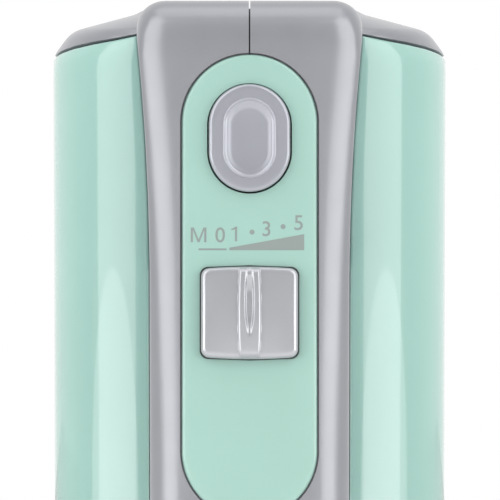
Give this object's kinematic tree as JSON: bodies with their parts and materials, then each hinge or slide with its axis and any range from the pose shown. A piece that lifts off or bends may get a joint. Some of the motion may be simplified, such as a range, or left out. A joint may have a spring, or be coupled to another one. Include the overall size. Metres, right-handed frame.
{
  "type": "hand mixer",
  "caption": "Hand-held kitchen mixer with a closed grip, eject button, sideways speed switch, worm-drive motor and a pair of removable wire beaters, standing on its heel.",
  "frame": {"origin": "on the plane that the four heel pads stand on, directly below the axis of the motor", "axes": "+Z from the heel to the nose, -Y to the top of the grip, +Y along the beaters, +X to the right of a person who looks down on the grip"},
  "size_m": [0.0882, 0.2724, 0.195],
  "materials": {
    "housing_silver": "silver paint in moulded plastic, satin to gloss",
    "mint_gloss": "glossy mint green moulded plastic",
    "mint_satin": "mint green moulded plastic, smooth satin",
    "button_silver": "silver painted plastic with a bright edge",
    "rubber_black": "matt",
    "steel": "turned and ground",
    "lamination": "stacked steel sheets",
    "chrome": "polished",
    "nylon": "natural nylon",
    "black_plastic": "moulded",
    "bronze": "sintered and oiled",
    "copper": "enamelled copper wire and bars",
    "carbon": "pressed carbon",
    "circuit_board": "glass-fibre laminate with solder mask",
    "aluminium": "extruded",
    "film_yellow": "film capacitor case",
    "wire_red": "PVC insulation"
  },
  "bodies": {
    "mixer_body": {"left_housing": "housing_silver", "right_housing": "housing_silver", "left_side_panel": "mint_gloss", "right_side_panel": "mint_gloss", "control_panel": "mint_satin", "housing_screws": "steel", "heel_pads": "rubber_black", "cord_inlet": "rubber_black", "gearbox_frame": "nylon", "gearbox_cover": "nylon", "gearbox_screws": "steel", "spindle_bushes": "bronze", "worm_bush": "bronze", "stator_core": "lamination", "field_coils": "copper", "front_motor_bracket": "aluminium", "rear_motor_bracket": "nylon", "motor_screws": "steel", "front_bearing": "bronze", "rear_bearing": "bronze", "brush_holders": "bronze", "carbon_brushes": "carbon", "brush_springs": "steel", "fan_shroud": "nylon", "control_board": "circuit_board", "heat_sink": "aluminium", "suppression_capacitor": "film_yellow", "switch_contacts": "black_plastic", "detent_spring": "steel", "terminal_block": "nylon", "lead_wires": "wire_red", "eject_guide": "nylon", "eject_spring": "steel"},
    "eject": {"eject_button": "button_silver", "eject_pushrod": "nylon", "ejector_fork": "nylon"},
    "speed_switch": {"speed_switch_cap": "button_silver", "speed_slider": "black_plastic"},
    "rotor": {"rotor_shaft": "steel", "rotor_core": "lamination", "rotor_windings": "copper", "commutator": "copper", "cooling_fan": "black_plastic"},
    "left_drive": {"left_worm_wheel": "nylon", "left_spindle": "steel", "left_socket_collar": "black_plastic"},
    "right_drive": {"right_worm_wheel": "nylon", "right_spindle": "steel", "right_socket_collar": "black_plastic"},
    "left_beater": {"left_beater_shaft": "chrome", "left_beater_strips": "chrome", "left_beater_tip": "chrome"},
    "right_beater": {"right_beater_shaft": "chrome", "right_beater_strips": "chrome", "right_beater_tip": "chrome"}
  },
  "joints": [
    {"name": "rotor_spin", "type": "hinge", "parent": "mixer_body", "child": "rotor", "pos_m": [0, 0, 0.073], "axis": [0, 0, 1], "continuous": true},
    {"name": "left_spindle_spin", "type": "hinge", "parent": "mixer_body", "child": "left_drive", "pos_m": [-0.016, 0, 0.152], "axis": [0, 1, 0], "continuous": true},
    {"name": "right_spindle_spin", "type": "hinge", "parent": "mixer_body", "child": "right_drive", "pos_m": [0.016, 0, 0.152], "axis": [0, 1, 0], "continuous": true},
    {"name": "eject_press", "type": "slide", "parent": "mixer_body", "child": "eject", "axis": [0, 1, 0], "range_m": [0, 0.006], "stiffness_N_per_m": 800, "springref_m": -0.004, "deforming": ["eject_spring"]},
    {"name": "left_beater_eject", "type": "slide", "parent": "left_drive", "child": "left_beater", "axis": [0, 1, 0], "range_m": [0, 0.006]},
    {"name": "right_beater_eject", "type": "slide", "parent": "right_drive", "child": "right_beater", "axis": [0, 1, 0], "range_m": [0, 0.006]},
    {"name": "speed_slide", "type": "slide", "parent": "mixer_body", "child": "speed_switch", "axis": [1, 0, 0], "range_m": [-0.0022, 0.004]}
  ],
  "couplings": [
    {"joint": "left_spindle_spin", "follows": "rotor_spin", "ratio": 0.071429},
    {"joint": "right_spindle_spin", "follows": "rotor_spin", "ratio": -0.071429},
    {"joint": "left_beater_eject", "follows": "eject_press", "ratio": 1},
    {"joint": "right_beater_eject", "follows": "eject_press", "ratio": 1}
  ]
}
